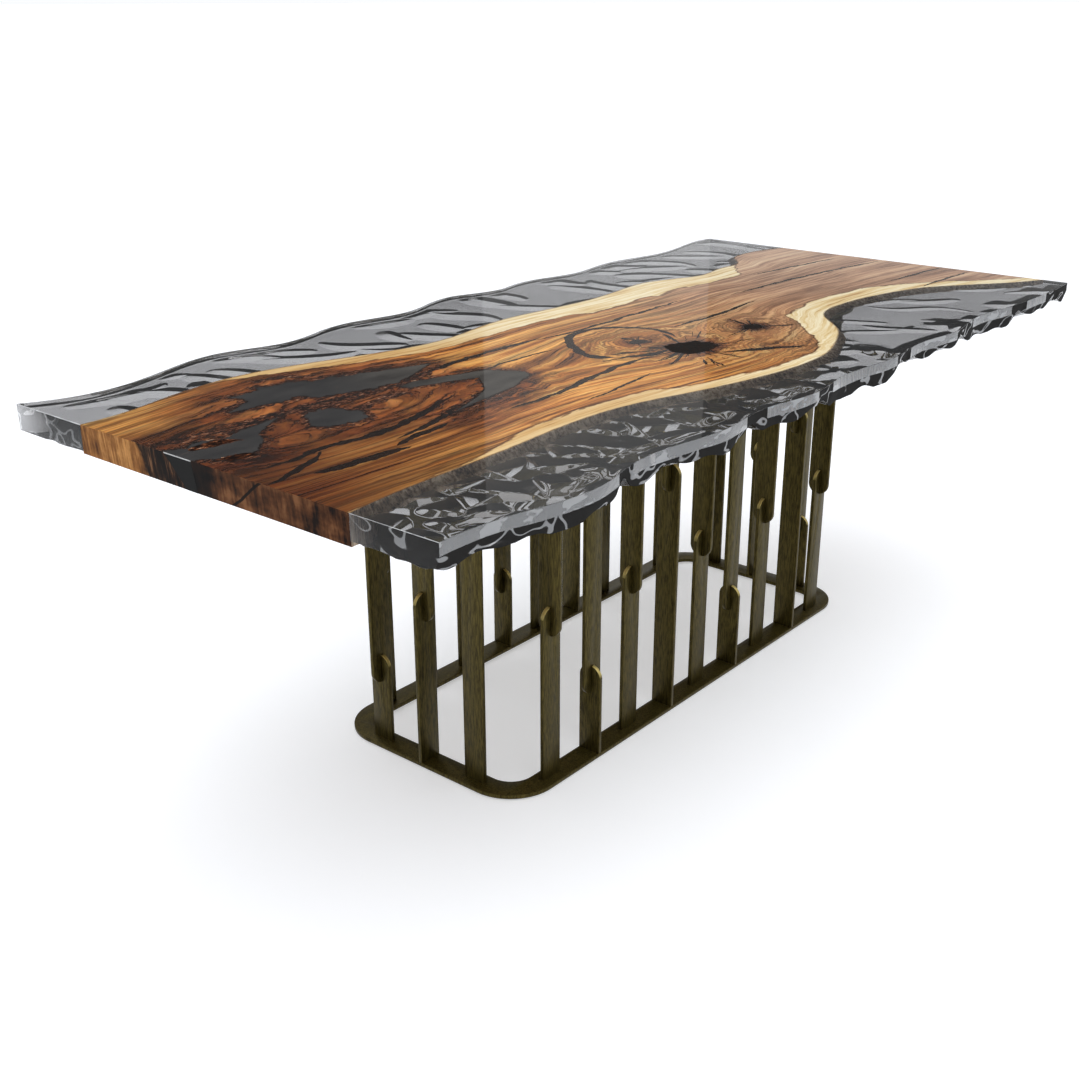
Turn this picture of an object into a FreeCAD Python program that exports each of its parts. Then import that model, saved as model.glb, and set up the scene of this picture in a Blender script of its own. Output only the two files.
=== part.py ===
import FreeCAD, Part
import math
import os

from FreeCAD import Vector

# Live edge dining table: one slab of wood between two poured resin wings, on a base of interlocking bars.
# Millimetres, +Z up, X along the table. The origin is on the floor, under the middle of the top.

# Table top
table_height = 760.0
top_length = 2200.0
top_width = 1074.0
slab_thickness = 50.0
bond_line = 0.2  # gap between the wood and the resin cast against it

# Live edges of the wood: (station along the half length, station across the half width)
wood_back_edge = [
    (-1.00, 0.566), (-0.87, 0.594), (-0.73, 0.650), (-0.61, 0.637), (-0.48, 0.559), (-0.345, 0.484),
    (-0.245, 0.477), (-0.125, 0.518), (-0.02, 0.525), (0.12, 0.495), (0.30, 0.514), (0.44, 0.520),
    (0.50, 0.469), (0.57, 0.430), (0.65, 0.453), (0.75, 0.471), (0.79, 0.547), (0.84, 0.577), (0.91, 0.575),
    (1.00, 0.518),
]
wood_front_edge = [
    (-1.00, -0.635), (-0.82, -0.607), (-0.68, -0.600), (-0.55, -0.585), (-0.43, -0.592), (-0.32, -0.644),
    (-0.18, -0.721), (-0.05, -0.764), (0.03, -0.769), (0.10, -0.754), (0.17, -0.704), (0.24, -0.641),
    (0.29, -0.575), (0.35, -0.458), (0.40, -0.406), (0.46, -0.393), (0.53, -0.393), (0.64, -0.432),
    (0.75, -0.501), (0.82, -0.601), (0.92, -0.752), (1.00, -0.847),
]

# Scalloped outer edges of the resin: (station along the half length, inset from the full width)
back_scallops = [
    (-1.00, 40), (-0.80, 72), (-0.59, 22), (-0.455, 55), (-0.32, 17), (-0.145, 39), (0.03, 0), (0.14, 32),
    (0.235, 17), (0.405, 42), (0.555, 19), (0.705, 42), (0.87, 23), (0.96, 9), (1.00, 17),
]
front_scallops = [
    (-1.00, 29), (-0.89, 24), (-0.73, 0), (-0.585, 30), (-0.40, 12), (-0.30, 27), (-0.17, 7), (-0.025, 25),
    (0.155, 14), (0.28, 28), (0.40, 15), (0.535, 37), (0.69, 22), (0.82, 16), (0.945, 17), (1.00, 23),
]

# Carved underside of the resin: round flutes that rise from the wood to the outer edge
# (station along the half length, height of the flute at the outer edge)
front_flutes = [
    (-0.93, 26), (-0.79, 22), (-0.645, 40), (-0.52, 20), (-0.42, 18), (-0.305, 38), (-0.20, 20), (-0.105, 36),
    (0.04, 24), (0.19, 38), (0.33, 24), (0.465, 40), (0.60, 22), (0.72, 38), (0.82, 24), (0.91, 36),
]
back_flutes = [
    (-0.93, 24), (-0.80, 40), (-0.68, 22), (-0.57, 24), (-0.455, 38), (-0.33, 20), (-0.24, 22), (-0.145, 36),
    (0.00, 20), (0.14, 38), (0.27, 22), (0.405, 38), (0.55, 20), (0.705, 40), (0.84, 22), (0.94, 26),
]
flute_radius = 120.0
flute_reach = 180.0  # from the outer edge inwards, over which a flute runs down to its shallow end
flute_shallow = 5.0
flute_slant = 0.45  # sideways drift of a flute for each unit of reach
belly_clearance = 0.5  # the resin stays this far above the slab's lower face
curve_tolerance = 2.0  # how closely tangent arcs follow a free curve

# Resin fills, as outlines on the top face: (distance from the near end, distance from the centre line)
fill_depth = 22.0
branch_void = [
    (360, 251), (450, 210), (563, 169), (649, 139), (570, 105), (495, 86), (375, 116), (338, 152),
    (195, 168), (262, 198), (259, 240),
]
arrow_void = [
    (540, 71), (608, 49), (683, 23), (720, -41), (705, -63), (623, -93), (533, -105), (435, -123),
    (540, -86), (585, -63), (634, -3), (570, 26), (503, 45), (495, 64),
]
heart_void = [(293, 64), (345, 26), (338, -26), (293, -37), (244, -11), (255, 41)]
end_void = [(0, 79), (105, 64), (233, 86), (158, 41), (128, -11), (90, -37), (38, -41), (15, 4), (0, 9)]
end_void_taper = 0.45  # size of the end void at the lower face, against the top
knot_hole = [(1040, -138), (1078, -133), (1120, -150), (1126, -185), (1085, -214), (1040, -210), (1013, -176)]
small_knot = [(1309, -151), (1330, -168), (1311, -190), (1289, -170)]

# Base
base_length = 1260.0
base_width = 500.0
base_offset = 24.0  # the base stands this far towards the back edge, under the middle of the wood
ring_width = 50.0
ring_thickness = 8.0
ring_corner_radius = 100.0
bar_width = 50.0
bar_thickness = 8.0
long_side_inset = 128.0  # from the end of the ring to the middle of the first bar of a long side
short_side_inset = 125.0
lap_length = 60.0  # overlap of a lower and an upper bar
lap_clearance = 0.15
lap_middle = {"low": 170.0, "mid": 340.0, "high": 520.0}
long_side_laps = ["mid", "low", "mid", "high", "mid", "low", "mid", "high", "mid"]
short_side_laps = ["high", "mid", "low"]

# Glide pads under the ring
pad_length = 60.0
pad_width = 36.0
pad_thickness = 3.0

# Fasteners between the base and the slab
bolt_diameter = 8.0
bolt_head_across_flats = 13.0
bolt_head_height = 5.3
bolt_engagement = 18.0
thread_clearance = 0.1
hole_clearance = 0.5
insert_across_flats = 13.0
insert_length = 22.0
insert_tip_gap = 1.0
tab_width = 44.0
tab_reach = 40.0  # from the inside of the top ring to the bolt hole
tab_bar = 4  # a tab stands half a pitch before this bar of a long side, counted from the middle one

# Sizes worked out from the above
half_length = top_length / 2
half_width = top_width / 2
slab_bottom = table_height - slab_thickness
lower_ring_top = pad_thickness + ring_thickness
upper_ring_bottom = slab_bottom - ring_thickness
side_x = (base_length - ring_width) / 2
side_y = (base_width - ring_width) / 2
long_pitch = (base_length - 2 * long_side_inset) / (len(long_side_laps) - 1)
short_pitch = (base_width - 2 * short_side_inset) / (len(short_side_laps) - 1)


def outward(solid):
    """Solid with its faces turned to the outside."""
    if solid.Volume < 0:
        solid.reverse()
    return solid


def prism(face, depth):
    """Solid that goes straight down from a face."""
    return outward(face.extrude(Vector(0, 0, -depth)))


def free_curve(points, closed=False):
    """Smooth curve through points, made of tangent arcs."""
    curve = Part.BSplineCurve()
    curve.interpolate(Points=points, PeriodicFlag=closed)
    return [arc.toShape() for arc in curve.toBiArcs(curve_tolerance)]


def edge_points(edge, height):
    return [Vector(station * half_length, offset, height) for station, offset in edge]


def wood_edge(stations, gap):
    """Edge of the wood as distances from the centre line, moved across by a gap."""
    return [(station, across * half_width + gap) for station, across in stations]


def outer_edge(scallops, side):
    return [(station, side * (half_width - inset)) for station, inset in scallops]


def strip_between(first_edge, second_edge, height):
    """Face of the top that lies between two edges running the length of the table."""
    first = edge_points(first_edge, height)
    second = edge_points(second_edge, height)
    ends = [Part.makeLine(first[0], second[0]), Part.makeLine(first[-1], second[-1])]
    edges = free_curve(first) + free_curve(second) + ends
    return Part.Face(Part.Wire(Part.sortEdges(edges)[0]))


def edge_offset(edge, station):
    """Distance from the centre line where an edge passes a station, on straight runs between its points."""
    for (before, low), (after, high) in zip(edge, edge[1:]):
        if before <= station <= after:
            return low + (high - low) * (station - before) / (after - before)


def flute(outline, side, station, height):
    """Round cutter of one flute, from its shallow end at the wood up and out past the outer edge."""
    rim = Vector(station * half_length, edge_offset(outline, station), slab_bottom + height)
    run = Vector(flute_slant * flute_reach, -side * flute_reach, flute_shallow - height)
    overrun = 1.5 * run
    drop = Vector(0, 0, flute_radius)
    return Part.makeCylinder(flute_radius, 4 * run.Length, rim - overrun - drop, run)


def resin_wing(wood_stations, scallops, side, flutes):
    outline = outer_edge(scallops, side)
    inner = wood_edge(wood_stations, side * bond_line)
    block = prism(strip_between(inner, outline, table_height), slab_thickness - belly_clearance)
    return block.cut([flute(outline, side, station, height) for station, height in flutes])


def drawn_in(outline, gap, corners):
    """Closed outline moved towards its inside by a gap, with round or sharp corners."""
    if not gap:
        return outline
    return outline.makeOffset2D(-gap, join={"round": 0, "sharp": 2}[corners])


def smooth_outline(points, gap):
    """Closed smooth outline through points on the top face."""
    return drawn_in(Part.Wire(free_curve(points, True)), gap, "round")


def split_outline(points, gap):
    """Closed outline with a corner at each point, as where the wood has split."""
    return drawn_in(Part.makePolygon(points + points[:1]), gap, "sharp")


def void_pocket(make_outline, points, gap):
    """Filled void of the slab, from the top face down, with its wall drawn in by a gap."""
    corners = [Vector(x - half_length, y, table_height) for x, y in points]
    return prism(Part.Face(make_outline(corners, gap)), fill_depth - gap)


def end_void_solid(gap):
    """Void that opens at the near end of the slab and narrows on its way down, with flat walls."""
    mouth = Vector(-half_length, (end_void[0][1] + end_void[-1][1]) / 2, 0)
    outline = split_outline([Vector(x - half_length, y, 0) for x, y in end_void], gap)
    corners = [vertex.Point for vertex in outline.OrderedVertexes]
    top = [corner + Vector(0, 0, table_height) for corner in corners]
    bottom = [mouth + end_void_taper * (corner - mouth) + Vector(0, 0, slab_bottom) for corner in corners]
    walls = [[top[i - 1], top[i], bottom[i], bottom[i - 1]] for i in range(len(corners))]
    shell = Part.makeShell([Part.Face(Part.makePolygon(ring + ring[:1])) for ring in [top, bottom] + walls])
    shell.sewShape()
    return outward(Part.makeSolid(shell))


def cylinder(diameter, height, x, y, z):
    return Part.makeCylinder(diameter / 2, height, Vector(x, y, z))


def fastener_places():
    tab_x = (tab_bar - 0.5) * long_pitch
    tab_y = side_y - ring_width / 2 - tab_reach
    return [(along * tab_x, base_offset + across * tab_y) for along in (-1, 1) for across in (-1, 1)]


def hexagon(across_flats, height, x, y, top):
    radius = across_flats / math.sqrt(3)
    angles = [math.radians(60 * k) for k in range(7)]
    corners = [Vector(x + radius * math.cos(angle), y + radius * math.sin(angle), top) for angle in angles]
    return prism(Part.Face(Part.makePolygon(corners)), height)


def wood_slab():
    front, back = wood_edge(wood_front_edge, 0.0), wood_edge(wood_back_edge, 0.0)
    board = prism(strip_between(front, back, table_height), slab_thickness)
    cuts = [void_pocket(*void, 0.0) for void in resin_voids + knot_voids]
    cuts.append(end_void_solid(0.0))
    depth = insert_length + insert_tip_gap
    pocket = insert_across_flats + 2 * bond_line
    cuts += [hexagon(pocket, depth, x, y, slab_bottom + depth) for x, y in fastener_places()]
    return board.cut(cuts)


def rounded_plate(length, width, radius, z):
    plate = Part.makeBox(length, width, ring_thickness, Vector(-length / 2, base_offset - width / 2, z))
    upright = [edge for edge in plate.Edges if abs(edge.tangentAt(edge.FirstParameter).z) > 0.5]
    return plate.makeFillet(radius, upright)


def ring(z):
    outer = rounded_plate(base_length, base_width, ring_corner_radius, z)
    opening_length = base_length - 2 * ring_width
    opening_width = base_width - 2 * ring_width
    return outer.cut(rounded_plate(opening_length, opening_width, ring_corner_radius - ring_width, z))


def top_ring():
    frame = ring(upper_ring_bottom)
    for x, y in fastener_places():
        length = tab_width / 2 + tab_reach + ring_width / 2
        low_y = y - tab_width / 2 if y > base_offset else y + tab_width / 2 - length
        corner = Vector(x - tab_width / 2, low_y, upper_ring_bottom)
        frame = frame.fuse(Part.makeBox(tab_width, length, ring_thickness, corner))
    hole = bolt_diameter + 2 * hole_clearance
    holes = [cylinder(hole, ring_thickness, x, y, upper_ring_bottom) for x, y in fastener_places()]
    return frame.removeSplitter().cut(holes)


def flat_bar(square_end, round_end, lap):
    """Upright bar with one half-round end, slotted from that end to the middle of its lap."""
    up = math.copysign(1.0, round_end - square_end)
    half = bar_width / 2
    shoulder = round_end - up * half
    corners = [Vector(x, 0, z) for x, z in ((half, shoulder), (half, square_end), (-half, square_end),
                                            (-half, shoulder))]
    sides = [Part.makeLine(corners[i], corners[i + 1]) for i in range(3)]
    tip = Part.Arc(corners[3], Vector(0, 0, round_end), corners[0]).toShape()
    plate = Part.Face(Part.Wire(sides + [tip])).extrude(Vector(0, bar_thickness, 0))
    plate.translate(Vector(0, -bar_thickness / 2, 0))
    slot_width = bar_thickness + 2 * lap_clearance
    slot_corner = Vector(-slot_width / 2, -bar_thickness, min(lap, round_end))
    return plate.cut(Part.makeBox(slot_width, 2 * bar_thickness, abs(round_end - lap), slot_corner))


def slat(lap_name, radial_foot):
    """Lower and upper bar of one slat, at right angles, at the middle of the base and facing along X."""
    lap = lap_middle[lap_name]
    lower = flat_bar(lower_ring_top, lap + lap_length / 2, lap)
    upper = flat_bar(upper_ring_bottom, lap - lap_length / 2, lap)
    turned = lower if radial_foot else upper
    turned.rotate(Vector(0, 0, 0), Vector(0, 0, 1), 90)
    return lower, upper


def side_slats():
    """Slats of all four sides: the front and left sides, and the same turned by half about the base."""
    placed = []
    for index, lap_name in enumerate(long_side_laps):
        x = (index - (len(long_side_laps) - 1) / 2) * long_pitch
        placed.append(("front", "back", index, lap_name, x, -side_y, 0))
    for index, lap_name in enumerate(short_side_laps):
        y = (index - (len(short_side_laps) - 1) / 2) * short_pitch
        placed.append(("left", "right", index, lap_name, -side_x, y, 90))
    bars = {}
    for side, far_side, index, lap_name, x, y, turn in placed:
        for name, half_turn in ((side, 0), (far_side, 180)):
            pair = slat(lap_name, index % 2 == 1)
            for level, bar in zip(("lower", "upper"), pair):
                bar.rotate(Vector(0, 0, 0), Vector(0, 0, 1), turn)
                bar.translate(Vector(x, y, 0))
                bar.rotate(Vector(0, 0, 0), Vector(0, 0, 1), half_turn)
                bar.translate(Vector(0, base_offset, 0))
                bars[f"{level}_bar_{name}_{index + 1}"] = bar
    return bars


def glide_pads():
    last_bar = base_length / 2 - long_side_inset
    places = [(x, y, pad_length, pad_width) for x in (-last_bar, 0, last_bar) for y in (-side_y, side_y)]
    places += [(x, 0, pad_width, pad_length) for x in (-side_x, side_x)]
    return [Part.makeBox(length, width, pad_thickness, Vector(x - length / 2, base_offset + y - width / 2, 0))
            for x, y, length, width in places]


def bolt(x, y):
    head = hexagon(bolt_head_across_flats, bolt_head_height, x, y, upper_ring_bottom)
    return head.fuse(cylinder(bolt_diameter, ring_thickness + bolt_engagement, x, y, upper_ring_bottom))


def threaded_insert(x, y):
    sleeve = hexagon(insert_across_flats, insert_length, x, y, slab_bottom + insert_length)
    return sleeve.cut(cylinder(bolt_diameter + 2 * thread_clearance, insert_length, x, y, slab_bottom))


resin_voids = [(split_outline, branch_void), (split_outline, arrow_void), (smooth_outline, heart_void)]
knot_voids = [(smooth_outline, knot_hole), (smooth_outline, small_knot)]

nodes = {
    "wood_slab": wood_slab(),
    "front_resin_wing": resin_wing(wood_front_edge, front_scallops, -1, front_flutes),
    "back_resin_wing": resin_wing(wood_back_edge, back_scallops, 1, back_flutes),
    "void_fills": Part.makeCompound([void_pocket(*void, bond_line) for void in resin_voids]
                                    + [end_void_solid(bond_line)]),
    "knot_fills": Part.makeCompound([void_pocket(*void, bond_line) for void in knot_voids]),
    "bottom_ring": ring(pad_thickness),
    "top_ring": top_ring(),
    "glide_pads": Part.makeCompound(glide_pads()),
    "mounting_bolts": Part.makeCompound([bolt(x, y) for x, y in fastener_places()]),
    "threaded_inserts": Part.makeCompound([threaded_insert(x, y) for x, y in fastener_places()]),
}
nodes.update(side_slats())

os.makedirs("parts", exist_ok=True)
for name, shape in nodes.items():
    shape.exportStep(f"parts/{name}.step")
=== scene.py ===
import math

import bpy
import numpy as np
from mathutils import Matrix, Vector


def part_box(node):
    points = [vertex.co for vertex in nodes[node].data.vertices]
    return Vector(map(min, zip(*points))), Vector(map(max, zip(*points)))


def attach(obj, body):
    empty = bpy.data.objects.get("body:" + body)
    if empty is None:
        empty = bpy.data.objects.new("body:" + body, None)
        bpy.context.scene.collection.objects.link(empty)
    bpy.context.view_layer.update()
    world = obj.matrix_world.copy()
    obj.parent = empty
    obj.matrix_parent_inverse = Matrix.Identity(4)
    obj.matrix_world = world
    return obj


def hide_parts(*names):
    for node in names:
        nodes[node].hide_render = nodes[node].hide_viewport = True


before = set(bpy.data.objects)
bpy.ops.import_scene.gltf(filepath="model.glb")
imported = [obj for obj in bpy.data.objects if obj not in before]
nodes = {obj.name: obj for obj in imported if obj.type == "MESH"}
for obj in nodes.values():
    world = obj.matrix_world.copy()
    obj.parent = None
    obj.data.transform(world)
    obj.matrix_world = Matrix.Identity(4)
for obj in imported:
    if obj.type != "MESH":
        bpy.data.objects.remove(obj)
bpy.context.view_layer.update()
print("frame loaded:", len(nodes), "nodes")


def linear(red, green, blue):       # a colour as read on a screen, for a socket
    shares = (red / 255, green / 255, blue / 255)
    return (*(((c + 0.055) / 1.055) ** 2.4 if c > 0.04045 else c / 12.92 for c in shares), 1.0)


# Shader maths: a Wire is a socket that takes part in sums, a Finish holds a material's or the sky's nodes
class Wire:
    def __init__(self, finish, socket):
        self.finish = finish
        self.socket = socket

    def math(self, operation, *others):
        terms = dict(enumerate((self,) + others))
        return self.finish.node("ShaderNodeMath", {"operation": operation}, terms)

    def __add__(self, other):
        return self.math("ADD", other)

    def __sub__(self, other):
        return self.math("SUBTRACT", other)

    def __mul__(self, other):
        return self.math("MULTIPLY", other)

    def __truediv__(self, other):
        return self.math("DIVIDE", other)

    def __rsub__(self, other):
        return self.finish.node("ShaderNodeMath", {"operation": "SUBTRACT"}, {0: other, 1: self})

    def __pow__(self, other):
        return self.math("POWER", other)

    def __abs__(self):
        return self.math("ABSOLUTE")

    __radd__ = __add__
    __rmul__ = __mul__

    def most(self, other):
        return self.math("MAXIMUM", other)

    def least(self, other):
        return self.math("MINIMUM", other)

    def step(self, low, high):      # 0 below low, 1 above high, eased between them
        return self.finish.node("ShaderNodeMapRange", {"interpolation_type": "SMOOTHSTEP"},
                                {"Value": self, "From Min": low, "From Max": high})

    def share(self, low, high):     # the same in a straight line
        return self.finish.node("ShaderNodeMapRange", {}, {"Value": self, "From Min": low, "From Max": high})


class Finish:
    def __init__(self, name, sockets=None, world=None):
        self.owner = world or bpy.data.materials.new(name)
        self.owner.use_nodes = True
        self.tree = self.owner.node_tree
        kinds = {node.type: node for node in self.tree.nodes}
        self.shader = kinds["BACKGROUND" if world else "BSDF_PRINCIPLED"]
        self.output = kinds["OUTPUT_WORLD" if world else "OUTPUT_MATERIAL"]
        for socket, value in (sockets or {}).items():
            self.shader.inputs[socket].default_value = value

    def node(self, kind, settings=None, sockets=None, out=0):
        made = self.tree.nodes.new(kind)
        for key, value in (settings or {}).items():
            if key == "stops":
                while len(made.color_ramp.elements) < len(value):
                    made.color_ramp.elements.new(0.5)
                for element, (place, tint) in zip(made.color_ramp.elements, value):
                    element.position = place
                    element.color = linear(*tint)
            elif key == "points":
                curve = made.mapping.curves[0]
                while len(curve.points) < len(value):
                    curve.points.new(0.5, 0.5)
                for point, place in zip(curve.points, value):
                    point.location = place
                made.mapping.update()
            else:
                setattr(made, key, value)
        for key, value in (sockets or {}).items():
            if isinstance(value, Wire):
                self.tree.links.new(value.socket, made.inputs[key])
            else:
                made.inputs[key].default_value = value
        return Wire(self, made.outputs[out])

    def feed(self, socket, wire):
        self.tree.links.new(wire.socket, self.shader.inputs[socket])

    def show(self, wire, socket="Surface"):
        self.tree.links.new(wire.socket, self.output.inputs[socket])

    def place(self):                # x, y and z in metres
        spot = self.node("ShaderNodeTexCoord", out="Object")
        return [self.node("ShaderNodeSeparateXYZ", {}, {0: spot}, out) for out in range(3)]

    def attribute(self, name):
        return self.node("ShaderNodeAttribute", {"attribute_name": name}, out="Fac")

    def vector(self, x, y, z):
        return self.node("ShaderNodeCombineXYZ", {}, {0: x, 1: y, 2: z})

    def noise(self, spot, scale, detail=4.0, roughness=0.5, distortion=0.0):
        return self.node("ShaderNodeTexNoise", {}, {"Vector": spot, "Scale": scale, "Detail": detail,
                                                    "Roughness": roughness, "Distortion": distortion})

    def ramp(self, wire, stops):
        return self.node("ShaderNodeValToRGB", {"stops": stops}, {0: wire})

    def curve(self, wire, points):
        return self.node("ShaderNodeFloatCurve", {"points": points}, {1: wire})

    def mix(self, factor, low, high, kind="MIX"):
        sockets = {0: factor, 6: low, 7: linear(*high) if isinstance(high, tuple) else high}
        return self.node("ShaderNodeMix", {"data_type": "RGBA", "blend_type": kind}, sockets, 2)

    def bump(self, height, distance):
        sockets = {"Height": height, "Distance": distance, "Strength": 1.0}
        self.feed("Normal", self.node("ShaderNodeBump", {}, sockets))


# Camera, at the photograph's station
view = {"spot": (-2.24417, -1.63275, 1.40422), "yaw": 39.886, "pitch": 21.840, "roll": -0.133, "lens": 45.0,
        "sensor": 36.0, "farthest": 2000.0}


def setCamera():
    yaw, pitch = math.radians(view["yaw"]), math.radians(view["pitch"])
    ahead = Vector((math.cos(yaw) * math.cos(pitch), math.sin(yaw) * math.cos(pitch), -math.sin(pitch)))
    turn = ahead.to_track_quat("-Z", "Y").to_matrix() @ Matrix.Rotation(math.radians(view["roll"]), 3, "Z")
    bpy.ops.object.camera_add(location=view["spot"], rotation=turn.to_euler())
    camera = bpy.context.object
    camera.data.lens = view["lens"]
    camera.data.sensor_width = view["sensor"]
    camera.data.clip_end = view["farthest"]
    bpy.context.scene.camera = camera


setCamera()
print("camera set")

# Studio: a white floor out to the horizon under a sky that is brightest overhead, and soft boxes
studio = {"floor": 900.0, "floorWhite": (0.700, 0.715, 0.745, 1.0), "floorGlow": 0.41, "haze": 0.03,
          "zenith": 1.75, "tint": (0.965, 0.98, 1.0, 1.0), "overhead": (0.34, 0.95), "horizon": (0.08, 0.22)}
softBoxes = [       # name, place, aimed at, size, watts
    ("overheadBox", (0.4, 0.2, 3.4), (0.0, 0.0, 0.7), (3.4, 2.6), 30.0),
    ("frontBox", (-2.7, -2.7, 4.3), (0.0, 0.0, 0.4), (3.0, 3.0), 29.0),
    ("rightBox", (2.6, -2.2, 4.3), (0.0, 0.0, 0.4), (2.6, 2.6), 18.0),
    ("leftBox", (-2.3, 1.9, 2.9), (-0.6, 0.0, 0.6), (1.8, 1.8), 9.0),
    ("backPanel", (4.10, 3.24, 2.9), (-2.24, -1.63, 2.9), (1.34, 4.4), 2.8),
]


def setSky():
    world = bpy.data.worlds.new("studioSky")
    bpy.context.scene.world = world
    sky = Finish("studioSky", {"Color": studio["tint"]}, world)
    way = sky.node("ShaderNodeTexCoord", out="Generated")
    height = sky.node("ShaderNodeSeparateXYZ", {}, {0: way}, 2)
    overhead = height.step(*studio["overhead"]) * (studio["zenith"] - studio["haze"]) + studio["haze"]
    horizon = 1 - height.step(*studio["horizon"])
    sky.feed("Strength", overhead.most(horizon))


def setFloor():
    bpy.ops.object.select_all(action="DESELECT")
    bpy.ops.mesh.primitive_plane_add(size=studio["floor"])
    floor = bpy.context.object
    floor.name = "studioFloor"
    paper = Finish("whitePaper")
    paper.tree.nodes.remove(paper.shader)
    shown = paper.node("ShaderNodeLightPath", out="Is Camera Ray")
    for name in ("Is Glossy Ray", "Is Transmission Ray"):       # metal and resin show the same white
        shown = shown.most(paper.node("ShaderNodeLightPath", out=name))
    matt = paper.node("ShaderNodeBsdfDiffuse", {}, {"Color": studio["floorWhite"]})
    light = paper.node("ShaderNodeEmission", {}, {"Strength": shown * studio["floorGlow"]})
    paper.show(paper.node("ShaderNodeAddShader", {}, {0: matt, 1: light}))
    floor.data.materials.append(paper.owner)


def setSoftBoxes():
    for name, spot, target, size, watts in softBoxes:
        aim = (Vector(target) - Vector(spot)).to_track_quat("-Z", "Y").to_euler()
        bpy.ops.object.light_add(type="AREA", location=spot, rotation=aim)
        box = bpy.context.object
        box.name = name
        box.data.shape = "RECTANGLE"
        box.data.size, box.data.size_y = size
        box.data.energy = watts
        box.visible_camera = False


bpy.context.scene.view_settings.view_transform = "Standard"
setSky()
setFloor()
setSoftBoxes()
print("studio set")


# Edges of the top, read from the frame as y along x
def topEdge(node, pick):
    spots = np.array([v.co for v in nodes[node].data.vertices])
    spots = spots[spots[:, 2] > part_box(node)[1].z - 1e-5]
    spots = spots[pick(spots[:, 1])]
    spots = spots[np.argsort(spots[:, 0])]
    return lambda x: np.interp(x, spots[:, 0], spots[:, 1])


rimSplit = {"front": -0.485, "back": 0.41}      # between a wing's outer edge and the wood
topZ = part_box("wood_slab")[1].z
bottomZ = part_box("wood_slab")[0].z
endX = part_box("wood_slab")[1].x
frontRim = topEdge("front_resin_wing", lambda y: y < rimSplit["front"])
frontWood = topEdge("front_resin_wing", lambda y: y > rimSplit["front"])
backRim = topEdge("back_resin_wing", lambda y: y > rimSplit["back"])
backWood = topEdge("back_resin_wing", lambda y: y < rimSplit["back"])


def addGrid(name, columns, rows):
    bpy.ops.object.select_all(action="DESELECT")
    bpy.ops.mesh.primitive_grid_add(x_subdivisions=columns, y_subdivisions=rows, size=1.0)
    piece = bpy.context.object
    piece.name = piece.data.name = name
    return piece


def gridSpots(piece):
    spots = np.empty(len(piece.data.vertices) * 3)
    piece.data.vertices.foreach_get("co", spots)
    return spots.reshape(-1, 3)


def setSpots(piece, spots):
    piece.data.vertices.foreach_set("co", spots.ravel())
    piece.data.update()


def raiseTop():                     # closes the active piece's underside into a solid with a flat top
    bpy.ops.object.mode_set(mode="EDIT")
    bpy.ops.mesh.select_all(action="SELECT")
    bpy.ops.mesh.extrude_region_move(TRANSFORM_OT_translate={"value": (0, 0, 0.01)})
    bpy.ops.transform.resize(value=(1, 1, 0), center_override=(0, 0, topZ))
    bpy.ops.mesh.select_all(action="SELECT")
    bpy.ops.mesh.normals_make_consistent(inside=False)
    bpy.ops.object.mode_set(mode="OBJECT")


def setAttribute(piece, name, values, domain="POINT"):
    layer = piece.data.attributes.new(name, "FLOAT", domain)
    layer.data.foreach_set("value", values.astype(np.float32))


def select(piece):
    bpy.ops.object.select_all(action="DESELECT")
    piece.select_set(True)
    bpy.context.view_layer.objects.active = piece


def easeEdges(piece, width, degrees):
    bevel = piece.modifiers.new("easedEdge", "BEVEL")
    bevel.width = width
    bevel.segments = 2
    bevel.angle_limit = math.radians(degrees)
    bpy.context.view_layer.objects.active = piece
    bpy.ops.object.modifier_apply(modifier=bevel.name)


def smooth(piece, degrees):
    select(piece)
    bpy.ops.object.shade_smooth_by_angle(angle=math.radians(degrees))


def settle(piece, replaced):
    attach(piece, "root")
    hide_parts(replaced)


# Resin wings: flat on top, rippled underneath, with a ground rim broken by notches
resin = {"column": 0.0028, "rows": 110, "bite": 0.0015, "edge": 0.0009, "floor": 0.0015, "thinnest": 0.002,
         "band": 0.020, "bandSway": 0.002, "thinBand": 0.003, "bandIn": 0.012, "lip": 0.006, "lump": 0.014,
         "lumpReach": 0.035, "notchCut": 0.024, "notchIn": 0.01, "swell": 0.0010,
         "farRim": (0.004, 0.03), "calm": (0.05, 0.25), "nearRim": (0.015, 0.05)}       # starts and runs
pitches = {"swell": 0.30, "band": 0.12, "lip": 0.15, "lump": 0.13}      # of the waves that vary these
# the carver's strokes: first what all share, then spacing, share kept, half length, width, rise, spread of
# turns, climb and fall
carver = {"turn": -58.0, "jitter": 0.45, "bend": 2.2, "sway": 25, "rise": (0.6, 1.0)}
strokeKinds = {
    "back": {"pitch": (0.115, 0.082), "kept": 0.80, "half": (0.050, 0.110), "wide": (0.020, 0.033),
             "rise": 0.0070, "spread": 24, "climb": 1.6, "fall": 1.0},
    "front": {"pitch": (0.130, 0.090), "kept": 0.72, "half": (0.055, 0.105), "wide": (0.013, 0.021),
              "rise": 0.0055, "spread": 20, "climb": 1.6, "fall": 1.0},
    "leaves": {"pitch": (0.085, 0.062), "kept": 0.95, "half": (0.035, 0.075), "wide": (0.018, 0.030),
               "rise": 0.0110, "spread": 40, "climb": 1.0, "fall": 4.2}}
bandRuns = [(-1.10, -0.735), (-0.685, -0.370), (-0.300, -0.150), (-0.080, 0.170), (0.245, 0.450),
            (0.575, 0.755), (0.830, 0.940)]         # where the front rim keeps its ground band
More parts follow.
